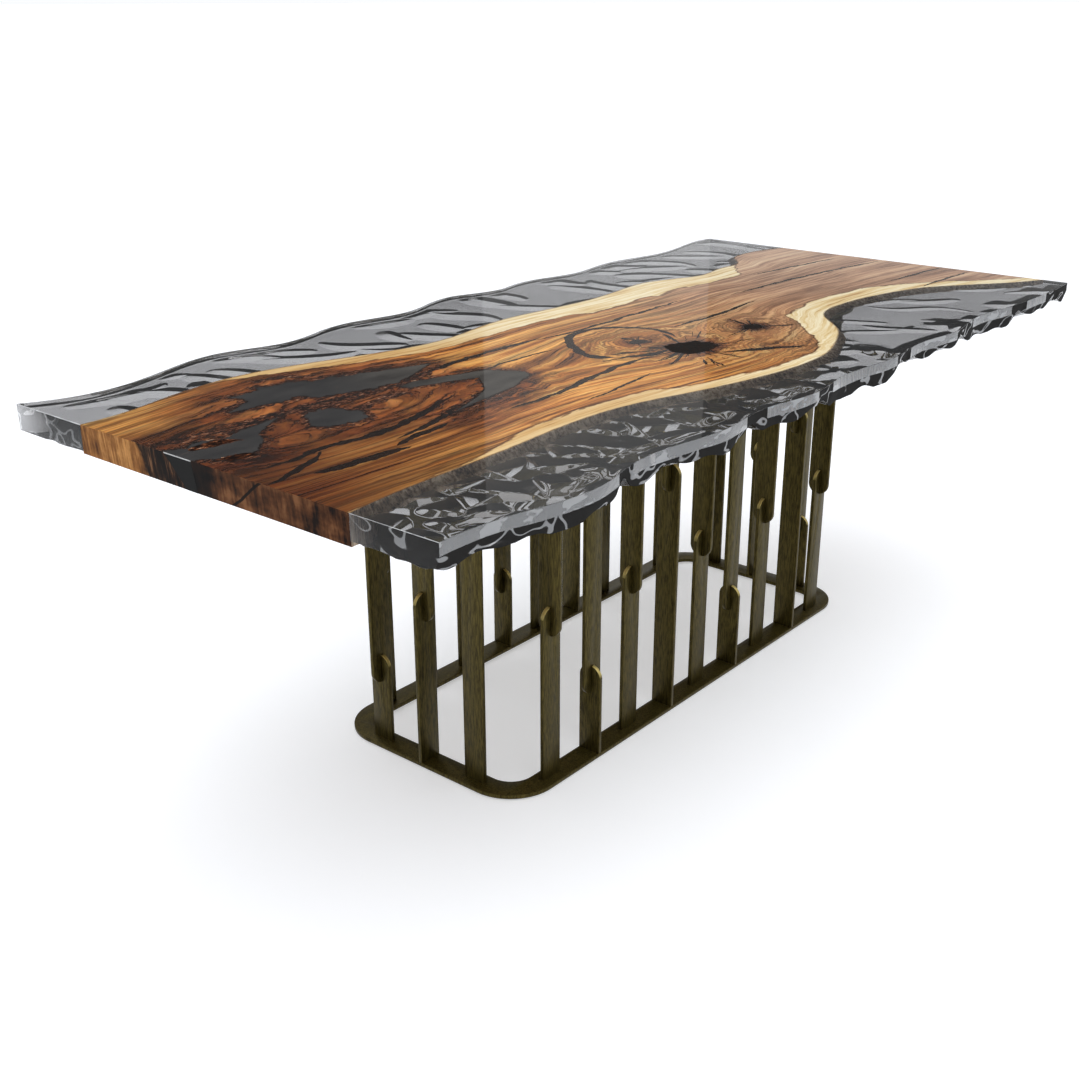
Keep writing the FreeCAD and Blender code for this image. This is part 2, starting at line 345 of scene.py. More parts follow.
notches = [(-0.71, 0.030, 0.10), (-0.335, 0.040, 0.12), (-0.115, 0.040, 0.10), (0.207, 0.042, 0.12),
           (0.512, 0.062, 0.10), (0.792, 0.042, 0.08), (0.985, 0.045, 0.08)]      # x, half width, reach
rimMarks = {"band": 1.0, "lip": -1.0, "backRim": 0.2, "backEndShade": -0.45, "frontEndShade": (-0.25, -0.80),
            "paintedEdgeHighlight": 2.4}        # how far a face is ground, or below 0 how far it takes painted shade with painted glint loops; the eased end edge takes a painted highlight


def ease(value, start=0.0, run=1.0):        # 0 up to the start, 1 past the run
    value = np.clip((value - start) / run, 0.0, 1.0)
    return value * value * (3 - 2 * value)


def waves(x, y, seed, pitch):       # gentle swell from a few crossing waves
    draw = np.random.default_rng(seed)
    total = np.zeros_like(x)
    count = 6
    turns, phases = draw.uniform(0, math.pi, count), draw.uniform(0, 6.28, count)
    for turn, phase, stretch in zip(turns, phases, draw.uniform(0.7, 1.5, count)):
        total += np.sin((x * math.cos(turn) + y * math.sin(turn)) * 6.283 / (pitch * stretch) + phase)
    return total / count


def strokes(x, y, seed, kind):      # curved grooves, steeper on one side, as a carver leaves them
    draw = np.random.default_rng(seed)
    stepX, stepY = kind["pitch"]
    height = np.zeros_like(x)
    for midX in np.arange(x.min(), x.max(), stepX):
        for midY in np.arange(y.min(), y.max(), stepY):
            jitterX, jitterY = draw.uniform(-carver["jitter"], carver["jitter"], 2)
            turn = math.radians(carver["turn"] + draw.normal(0, kind["spread"]))
            half, wide = draw.uniform(*kind["half"]), draw.uniform(*kind["wide"])
            bend, sway = draw.normal(0, carver["bend"]), draw.normal(0, carver["sway"])
            rise = draw.uniform(*carver["rise"]) * kind["rise"]
            if draw.uniform() > kind["kept"]:
                continue
            dx, dy = x - midX - jitterX * stepX, y - midY - jitterY * stepY
            along = (dx * math.cos(turn) + dy * math.sin(turn)) / half
            inside = np.clip(1 - along ** 2, 0, 1)
            run = along * half
            aside = dy * math.cos(turn) - dx * math.sin(turn) - bend * run ** 2 - sway * run ** 3
            aside = aside / (wide * inside ** 0.35 + 1e-4)
            groove = np.clip(np.where(aside < 0, 1 + aside / kind["climb"], 1 - aside / kind["fall"]), 0, 1)
            height = np.maximum(height, rise * inside ** 0.7 * groove)
    return height


def underside(x, y, rim, side, seed):
    reach = np.abs(rim - y)         # in from the rim
    low = bottomZ + resin["floor"]
    swell = resin["swell"] * (1 + waves(x, y, seed + 8, pitches["swell"]))
    ripple = strokes(x, y, seed, strokeKinds[side])
    if side == "back":              # the far rim keeps its full depth
        return low + swell + ripple * ease(reach, *resin["farRim"])
    calm = ease(x, *resin["calm"])
    ripple = calm * ripple + (1 - calm) * strokes(x, y, seed + 20, strokeKinds["leaves"])
    notch, groove = np.zeros_like(x), np.zeros_like(x)
    for place, half, deep in notches:
        near = ease(1 - np.abs(x - place) / half)
        notch = np.maximum(notch, near)
        groove = np.maximum(groove, near * ease(1 - reach / deep))
    bandZ = topZ - resin["band"] + resin["bandSway"] * waves(x, x, seed + 3, pitches["band"])
    bandZ = bandZ + (topZ - resin["thinBand"] - bandZ) * ease(notch * 2.2)
    lipIn = resin["lip"] * (1 + 0.5 * waves(x, x * 0, seed + 4, pitches["lip"]))
    lumps = resin["lump"] * np.clip(0.5 + 2.0 * waves(x, x * 0, seed + 5, pitches["lump"]), 0, 1.5)
    foot = low + swell + ripple * ease(reach, *resin["nearRim"])
    foot = foot + lumps * ease(1 - (reach - lipIn) / resin["lumpReach"])
    lip = (bandZ - foot) * np.clip(1 - reach / lipIn, 0, 1)
    z = foot + lip + resin["notchCut"] * groove * ease(reach / resin["notchIn"])
    ceiling = np.where(reach < resin["bandIn"], bandZ, 1.0)
    return np.clip(z, low, np.minimum(topZ - resin["thinnest"], ceiling))


def makeWing(side, wood, rim, seed):
    piece = addGrid(f"{side}_resin_wing_cast", round(2 * endX / resin["column"]), resin["rows"])
    grid = gridSpots(piece)
    x = grid[:, 0] * 2 * endX
    inner = wood(x) + (resin["bite"] if side == "front" else -resin["bite"])
    across = grid[:, 1] + 0.5
    if side == "front":
        across = 1 - across         # keeps the grid's turn the same on both sides
    y = inner + across * (rim(x) - inner)
    z = underside(x, y, rim(x), side, seed)
    setSpots(piece, np.column_stack((x, y, z)))
    raiseTop()
    mergeTop(piece)
    easeEdges(piece, resin["edge"], 75)
    markRim(piece, rim, side)
    smooth(piece, 40)
    flattenTop(piece)
    return piece


def flattenTop(piece):              # a large flat face takes no shading from its eased edge
    for face in piece.data.polygons:
        if face.normal.z > 0.999 and face.area > 0.0005:
            face.use_smooth = False


def mergeTop(piece):                # the flat top becomes one face
    flat = np.array([face.center.z > topZ - 1e-6 for face in piece.data.polygons])
    bpy.context.tool_settings.mesh_select_mode = (False, False, True)
    piece.data.polygons.foreach_set("select", flat)
    bpy.ops.object.mode_set(mode="EDIT")
    bpy.ops.mesh.dissolve_faces()
    bpy.ops.object.mode_set(mode="OBJECT")


def markRim(piece, rim, side):      # the ground band round the outside, painted shade on the carved lip below it and on the end faces, and a painted highlight on the eased end edge
    faces = piece.data.polygons
    middle = np.array([face.center for face in faces])
    slope = np.array([face.normal.z for face in faces])
    gap = np.abs(middle[:, 1] - rim(middle[:, 0]))
    upright = np.abs(slope) < 0.1
    onRim = upright & (gap < 1e-3)
    if side == "back":
        mark = rimMarks["backRim"] * onRim
        # painted shade on the back wing's end faces
        sawn = np.full_like(gap, rimMarks["backEndShade"])
    else:
        mark = rimMarks["band"] * onRim
        run = np.any([(middle[:, 0] > start) & (middle[:, 0] < end) for start, end in bandRuns], axis=0)
        # painted shade: the carved lip, and the rim where the band breaks at the notches, are painted dark
        mark[(slope < 0.1) & (gap < 1.6 * resin["lip"]) & ~(onRim & run)] = rimMarks["lip"]
        # painted shade on the front wing's end faces, darker away from the wood
        byWood, outside = rimMarks["frontEndShade"]
        sawn = byWood + (outside - byWood) * ease((frontWood(middle[:, 0]) - middle[:, 1]) / 0.06)
    atEnd = np.abs(middle[:, 0]) > endX - 1e-3
    mark[atEnd & upright] = sawn[atEnd & upright]
    # painted highlight: a light line on the eased top edge of the ends
    mark[atEnd & (slope > 0.15) & (slope < 0.97)] = rimMarks["paintedEdgeHighlight"]
    setAttribute(piece, "band", mark, "FACE")


# the smoke, then the three surfaces, the third a near-black one for painted shade, and how much of a face is
# ground to satin or painted dark as shade, with painted glint loops
smoke = {"tint": (0.515, 0.507, 0.500, 1.0), "density": 26.5, "clear": (0.95, 0.95, 0.96, 1.0),
         "satin": (0.74, 0.75, 0.76, 1.0), "deep": (0.026, 0.025, 0.024, 1.0), "milk": 0.03,
         "ground": (0.26, 0.22), "loops": 0.38, "paintedShade": (0.95, 0.80)}


def smokyResin():
    glass = Finish("smokyResin", {"Base Color": smoke["clear"], "Roughness": 0.01, "IOR": 1.5,
                                  "Transmission Weight": 1.0})
    satin = glass.node("ShaderNodeBsdfPrincipled", {}, {"Base Color": smoke["satin"], "Roughness": 0.18})
    # a near-black surface, mixed in as painted shade
    deep = glass.node("ShaderNodeBsdfPrincipled", {}, {"Base Color": smoke["deep"], "Roughness": 0.12,
                                                       "Specular IOR Level": 0.0})
    x, y, z = glass.place()
    patch = glass.noise(glass.vector(x * 24, y * 24, z * 46), 1.0, 2.0).step(0.55, 0.59)
    cloud = glass.noise(glass.vector(x * 22, y * 22, z * 34), 1.0, 0.0, 0.5, 0.6)
    paintedGlints = 1 - abs(cloud - 0.60).step(0.025, 0.050)        # painted glints: light loops on the painted shade
    mark = glass.attribute("band")
    lip = (0.0 - mark).most(0.0)
    even, patchy = smoke["ground"]
    # ground faces go satin, and the painted glints go satin on the painted shade
    ground = mark.most(0.0) * (even + patch * patchy) + lip * paintedGlints * smoke["loops"]
    ground = ground + smoke["milk"]         # a trace of milk all through
    # painted shade on the lip and the ends, thinner where the painted glints run
    between, onLoops = smoke["paintedShade"]
    paintedShade = lip * (between - paintedGlints * onLoops)
    clear = Wire(glass, glass.shader.outputs[0])
    both = glass.node("ShaderNodeMixShader", {}, {0: ground, 1: clear, 2: satin})
    glass.show(glass.node("ShaderNodeMixShader", {}, {0: paintedShade, 1: both, 2: deep}))
    haze = {"Color": smoke["tint"], "Density": smoke["density"]}
    glass.show(glass.node("ShaderNodeVolumeAbsorption", {}, haze), "Volume")
    return glass.owner


resinFinish = smokyResin()
for side, wood, rim, seed in (("front", frontWood, frontRim, 11), ("back", backWood, backRim, 29)):
    wing = makeWing(side, wood, rim, seed)
    wing.data.materials.append(resinFinish)
    settle(wing, f"{side}_resin_wing")
    print(side, "wing cast:", len(wing.data.polygons), "faces")


# Fills: smoky resin in the voids and knots, with the ragged outline that bark leaves
fills = {"step": 0.0025, "rag": {"void_fills": (0.0085, 0.0015), "knot_fills": (0.009, 0.009)},
         "pitches": (0.055, 0.018, 0.007), "fine": 0.0020, "calm": (-0.66, 0.14), "room": 0.05,
         "tipPoints": 6, "farthest": 0.2, "depth": 0.012, "endKept": 0.004, "endNarrow": 0.4,
         "endHeart": -0.010}


def topLoops(node):                 # outlines of a node's flat top, as closed loops of points
    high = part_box(node)[1].z
    mesh = nodes[node].data
    spots = [tuple(round(c, 6) for c in v.co) for v in mesh.vertices]
    used = {}
    for face in mesh.polygons:
        corners = [spots[i] for i in face.vertices]
        if min(c[2] for c in corners) > high - 1e-5:
            for start, end in zip(corners, corners[1:] + corners[:1]):
                used[start, end] = True
    onward = {start: end for start, end in used if (end, start) not in used}
    loops = []
    while onward:
        spot = next(iter(onward))
        loop = []
        while spot in onward:
            loop.append(spot[:2])
            spot = onward.pop(spot)
        loops.append(np.array(loop))
    return loops


def walk(loop, step):               # evenly spaced points along a closed loop
    closed = np.vstack((loop, loop[:1]))
    run = np.concatenate(([0], np.cumsum(np.hypot(*np.diff(closed, axis=0).T))))
    places = np.linspace(0, run[-1], max(12, round(run[-1] / step)), endpoint=False)
    return np.column_stack([np.interp(places, run, closed[:, axis]) for axis in (0, 1)])


def ragged(loop, sizes, seed):      # its size at the near end of the board, and beyond
    spots = walk(loop, fills["step"])
    size = sizes[0] + (sizes[1] - sizes[0]) * ease(spots[:, 0], *fills["calm"])
    ahead = np.roll(spots, -1, 0) - np.roll(spots, 1, 0)
    out = np.column_stack((ahead[:, 1], -ahead[:, 0])) / np.maximum(np.hypot(*ahead.T), 1e-9)[:, None]
    count = len(spots)
    apart = np.hypot(*(spots[:, None] - spots[None]).transpose(2, 0, 1))
    turns = np.abs(np.arange(count)[:, None] - np.arange(count)[None])
    run = np.minimum(turns, count - turns) * fills["step"]
    apart[run < np.maximum(0.010, 1.7 * apart)] = 1.0
    room = np.clip(apart.min(1) / fills["room"], 0.0, 1.0) ** 1.5
    tip = fills["tipPoints"]                # narrow tails stay smooth, up to their tips
    room = np.min([np.roll(room, turn) for turn in range(-tip, tip + 1)], axis=0)
    x, y = spots.T
    broad, middle, small = (waves(x, y, seed + turn, pitch) for turn, pitch in enumerate(fills["pitches"]))
    shift = room * (size * (broad * 1.5 + middle - 0.15) + fills["fine"] * small)
    inner = endX - np.abs(x) > fills["endKept"]     # an outline on the end face stays there
    return spots + out * (shift * inner)[:, None]


fillLoops = {}
for node in ("void_fills", "knot_fills"):
    outlines = enumerate(topLoops(node))
    fillLoops[node] = [ragged(loop, fills["rag"][node], 40 + 7 * count) for count, loop in outlines]
print("fill outlines:", {node: len(loops) for node, loops in fillLoops.items()})


def gapTo(loops, x, y):             # distance of each place from the nearest outline
    gap = np.full(len(x), fills["farthest"])
    for loop in loops:
        for start, end in zip(loop[::2], np.roll(loop[::2], -1, 0)):
            run = end - start
            share = ((x - start[0]) * run[0] + (y - start[1]) * run[1]) / max(run @ run, 1e-12)
            share = np.clip(share, 0, 1)
            gap = np.minimum(gap, np.hypot(x - start[0] - share * run[0], y - start[1] - share * run[1]))
    return gap


# Wood slab: one board between the live edges, with bark on the edges that the resin covers
slab = {"columns": 520, "rows": 136, "inset": 0.0002, "endInset": 0.0006, "wallRows": 6, "flare": 0.020,
        "flarePitch": 0.16, "relief": 0.005, "reliefPitch": 0.022, "endFade": 0.10, "width": 0.62,
        "follow": 0.35, "sapIn": (0.16, 0.24), "sapOut": (0.01, 0.17), "knotLong": 1.5, "knotSoft": 0.35,
        "eyeLong": 1.25}
sapFront = [(-0.74, -0.294), (-0.605, -0.272), (-0.455, -0.277), (-0.350, -0.297), (-0.275, -0.327),
            (-0.200, -0.350), (-0.050, -0.383), (0.100, -0.383), (0.175, -0.350), (0.250, -0.278),
            (0.302, -0.230), (0.347, -0.173), (0.445, -0.155), (0.500, -0.142), (0.612, -0.143),
            (0.725, -0.158), (0.815, -0.203), (0.890, -0.248), (1.025, -0.361), (1.100, -0.413)]
sapBack = [(-0.710, 0.316), (-0.530, 0.252), (-0.455, 0.229), (-0.350, 0.206), (-0.252, 0.200),
           (-0.132, 0.216), (-0.035, 0.213), (0.055, 0.198), (0.100, 0.175), (0.220, 0.173), (0.295, 0.186),
           (0.347, 0.168), (0.447, 0.183), (0.530, 0.164), (0.695, 0.160), (0.770, 0.194), (0.822, 0.209)]
# centres of the knots: x, y and radius where the grain parts, x and y where the rings close
knotSwirls = [(-0.055, -0.100, 0.11), (0.209, -0.170, 0.05), (-0.72, 0.05, 0.10), (-0.93, 0.0, 0.07)]
knotEyes = [(-0.057, -0.061), (-0.031, -0.173), (0.209, -0.170), (0.10, -0.29)]


def sapLine(points, x, edge):       # inner bound of the sapwood, which runs out into the live edge
    along, across = np.array(points).T
    lead, run = slab["sapIn"]
    inside = np.where(along[0] > -1.0, ease((x - along[0] + lead) / run), 1.0)
    lead, run = slab["sapOut"]
    inside = inside * np.where(along[-1] < 1.0, ease((along[-1] + lead - x) / run), 1.0)
    return edge + (np.interp(x, along, across) - edge) * inside


def grainAt(x, y):                  # follows both live edges and parts round knots
    front, back = frontWood(x), backWood(x)
    grain = y + slab["width"] / 2
    grain = grain + slab["follow"] * ((y - front) / (back - front) * slab["width"] - grain)
    for midX, midY, radius in knotSwirls:
        dx, dy = (x - midX) / slab["knotLong"], y - midY
        grain = grain - dy * radius ** 2 / (dx ** 2 + dy ** 2 + slab["knotSoft"] * radius ** 2)
    return grain


def makeSlab():
    piece = addGrid("live_edge_slab", slab["columns"], slab["rows"])
    grid = gridSpots(piece)
    x = grid[:, 0] * 2 * (endX - slab["endInset"])
    y = frontWood(x) + (grid[:, 1] + 0.5) * (backWood(x) - frontWood(x))
    setSpots(piece, np.column_stack((x, y, np.full_like(x, topZ - slab["inset"]))))
    bpy.ops.object.mode_set(mode="EDIT")
    bpy.ops.mesh.select_mode(type="EDGE")
    bpy.ops.mesh.select_all(action="DESELECT")
    bpy.ops.mesh.select_non_manifold(use_wire=False, use_multi_face=False, use_non_contiguous=False,
                                     use_verts=False)
    drop = (bottomZ - topZ + slab["inset"]) / slab["wallRows"]
    for row in range(slab["wallRows"]):
        bpy.ops.mesh.extrude_region_move(TRANSFORM_OT_translate={"value": (0, 0, drop)})
    bpy.ops.mesh.edge_face_add()
    bpy.ops.mesh.select_all(action="SELECT")
    bpy.ops.mesh.normals_make_consistent(inside=False)
    bpy.ops.object.mode_set(mode="OBJECT")
    return piece


def shapeBark(piece):               # live edges flare and roughen on the way down
    x, y, z = gridSpots(piece).T
    front, back = frontWood(x), backWood(x)
    deep = np.clip((topZ - slab["inset"] - z) / (topZ - bottomZ), 0, 1)
    fade = ease((endX - np.abs(x)) / slab["endFade"])
    flare = slab["flare"] * deep ** 1.2 * (0.8 + 0.5 * waves(x, x * 0.3, 71, slab["flarePitch"]))
    flare = flare + slab["relief"] * np.sqrt(deep) * waves(x, z * 1.4, 73, slab["reliefPitch"])
    fields = {"heart": np.minimum(sapLine(sapBack, x, back) - y, y - sapLine(sapFront, x, front)),
              "edge": np.minimum(back - y, y - front), "grain": grainAt(x, y),
              "voidGap": gapTo(sum(fillLoops.values(), []), x, y),
              "eye": np.min([np.hypot((x - ex) / slab["eyeLong"], y - ey) for ex, ey in knotEyes], axis=0)}
    onFront, onBack = np.abs(y - front) < 1e-6, np.abs(y - back) < 1e-6
    y = y - flare * fade * onFront + flare * fade * onBack
    setSpots(piece, np.column_stack((x, y, z)))
    for name, values in fields.items():
        setAttribute(piece, name, values)


def pickBark(piece):                # second material on the walls under the resin
    faces = piece.data.polygons
    normals = np.empty(len(faces) * 3)
    faces.foreach_get("normal", normals)
    normals = normals.reshape(-1, 3)
    bark = (np.abs(normals[:, 2]) < 0.9) & (np.abs(normals[:, 0]) < 0.97)
    faces.foreach_set("material_index", bark.astype(np.int32))


walnut = {      # ramps of the wood's colours, each a place and a tint
    "near": [(0.40, (88, 47, 19)), (0.47, (200, 123, 53)), (0.54, (248, 180, 94)), (0.62, (252, 212, 134))],
    "far": [(0.38, (92, 58, 40)), (0.47, (178, 136, 106)), (0.54, (218, 178, 142)), (0.64, (240, 212, 176))],
    "knotty": [(0.40, (16, 7, 4)), (0.47, (108, 51, 22)), (0.54, (182, 100, 47)), (0.64, (222, 148, 80))],
    "sap": [(0.36, (176, 128, 66)), (0.44, (230, 200, 142)), (0.56, (251, 237, 200))],
    "crust": [(0.44, (9, 6, 5)), (0.52, (50, 25, 14)), (0.61, (118, 66, 36)), (0.73, (214, 190, 164))],
    "sawn": [(0.37, (78, 46, 22)), (0.50, (150, 98, 50)), (0.62, (208, 150, 86))],
    "brown": [(0.40, (24, 13, 8)), (0.50, (86, 52, 30)), (0.60, (132, 88, 56))],
    "char": [(0.45, (8, 6, 5)), (0.55, (42, 26, 17)), (0.63, (116, 82, 56))],
    "bark": [(0.36, (76, 63, 54)), (0.48, (166, 143, 120)), (0.60, (232, 212, 184))]}
# tints that darken it in places: a stain, reddening near the rot, and painted shade over the heart and the
# sapwood towards the near end; and the lines and holes drawn on it
shades = {"stain": (150, 128, 124), "rot": (226, 180, 156), "nearEndShade": (120, 94, 80), "sap": (228, 208, 180)}
marks = {"ring": (36, 18, 8), "line": (52, 27, 12), "flow": (14, 8, 6), "pore": (50, 28, 15),
         "eye": (66, 35, 18), "sapLine": (70, 38, 18), "lip": (104, 70, 38), "split": (14, 9, 7),
         "voidEdge": (12, 7, 5), "endVoid": (10, 7, 6), "endCrack": (12, 8, 6)}
crackEdge = 0.0012      # over which a crack darkens
cracks = [      # points along a crack, and its half width
    ([(-1.07, -0.093), (-1.017, -0.107), (-0.92, -0.097), (-0.83, -0.107), (-0.74, -0.093), (-0.65, -0.067),
      (-0.575, -0.046)], 0.0065),
    ([(-1.096, -0.165), (-1.025, -0.150), (-0.942, -0.108)], 0.0055),
    ([(-1.021, -0.180), (-0.93, -0.190), (-0.837, -0.195)], 0.0085),
    ([(-0.849, -0.176), (-0.78, -0.163), (-0.71, -0.157)], 0.0060),
    ([(-0.586, -0.180), (-0.455, -0.180), (-0.357, -0.164), (-0.194, -0.152), (-0.110, -0.186)], 0.0055),
    ([(-0.462, -0.249), (-0.35, -0.241), (-0.235, -0.226)], 0.0030),
    ([(-0.59, 0.086), (-0.477, 0.101), (-0.33, 0.113), (-0.15, 0.109)], 0.0065),
    ([(-0.19, 0.111), (-0.074, 0.093), (0.022, 0.093), (0.20, 0.095), (0.35, 0.099)], 0.0045),
    ([(-0.462, 0.026), (-0.33, 0.032), (-0.20, 0.026)], 0.0030),
    ([(0.085, -0.041), (0.25, -0.048), (0.445, -0.033)], 0.0042),
    ([(0.45, 0.044), (0.77, 0.024), (1.10, -0.028)], 0.0044),
    ([(0.70, 0.134), (0.87, 0.112), (1.05, 0.084)], 0.0040),
    ([(0.85, -0.171), (0.97, -0.178), (1.10, -0.193)], 0.0036),
    ([(0.83, -0.263), (0.95, -0.262), (1.10, -0.271)], 0.0034),
    ([(-0.942, 0.064), (-0.80, 0.095), (-0.70, 0.088), (-0.605, 0.100)], 0.0085),
    ([(-0.020, -0.244), (0.057, -0.292), (0.137, -0.350)], 0.0080),
    ([(-0.190, -0.105), (-0.135, -0.140), (-0.070, -0.150)], 0.0080),
    ([(-0.826, -0.152), (-0.734, -0.137), (-0.626, -0.103), (-0.558, -0.087)], 0.0060),
]
crustBands = [      # bark grown into the wood between the voids, in the same terms
    ([(-1.097, 0.148), (-1.033, 0.102), (-0.940, 0.105), (-0.896, 0.096), (-0.774, 0.116)], 0.014),
    ([(-0.863, 0.110), (-0.735, 0.080), (-0.581, 0.087), (-0.462, 0.100)], 0.014),
    ([(-0.752, 0.295), (-0.701, 0.277), (-0.645, 0.242)], 0.010),
    ([(-0.780, 0.009), (-0.730, 0.024), (-0.608, 0.035)], 0.010),
]
ringCrack = {"heart": (-0.07, -0.01), "from": -130, "to": 134, "reach": 0.2, "half": (0.0130, 0.0060),
             "radii": [(0.0, 0.153), (0.06, 0.151), (0.125, 0.127), (0.20, 0.104), (0.36, 0.090),
                       (0.515, 0.092), (0.62, 0.100), (0.72, 0.107), (0.83, 0.122),
                       (1.0, 0.133)]}       # share of the turn, radius


def tornEdge(finish, x, y):         # how far a crack's line strays, and how its width varies
    wobble = (finish.noise(finish.vector(x * 17, y * 17, 0.0), 1.0, 3.0, 0.55) - 0.5) * 0.020
    return wobble, (finish.noise(finish.vector(x * 30, y * 30, 5.0), 1.0, 4.0, 0.7) * 2.0).most(0.8)


def crustPaint(finish, x, y, z):    # crumbling bark, with a few bright splinters
    crumb = finish.noise(finish.vector(x * 64, y * 150, z * 60), 1.0, 6.0, 0.72)
    return finish.ramp(crumb, walnut["crust"])


def crackMask(x, y, wobble, tear, lines):
    mask = 0.0
    for points, half in lines:
        startX, endsX = points[0][0], points[-1][0]
        lowY = min(p[1] for p in points) - 0.01
        highY = max(p[1] for p in points) + 0.01
        share = x.share(startX, endsX)
        unit = [((px - startX) / (endsX - startX), (py - lowY) / (highY - lowY)) for px, py in points]
        line = x.finish.curve(share, unit) * (highY - lowY) + lowY
        taper = (share * (1 - share) * 4) ** 0.6 * tear * (half * 1.45)
        crack = (taper - abs(y - line - wobble)) / crackEdge
        mask = crack.most(mask)
    return mask.step(0.0, 1.0)


def ringMask(x, y, wobble, tear):   # the shake that opened round the largest knot
    midX, midY = ringCrack["heart"]
    dx, dy = x - midX, y - midY
    share = dx.math("ARCTAN2", dy).share(math.radians(ringCrack["from"]), math.radians(ringCrack["to"]))
    unit = [(place, radius / ringCrack["reach"]) for place, radius in ringCrack["radii"]]
    radius = x.finish.curve(share, unit) * ringCrack["reach"]
    thick, thin = ringCrack["half"]
    half = (thick - share * (thick - thin)) * (share * (1 - share) * 24).least(1.0) * tear
    return ((half - abs((dx * dx + dy * dy) ** 0.5 - radius - wobble)) / crackEdge).step(0.0, 1.0)


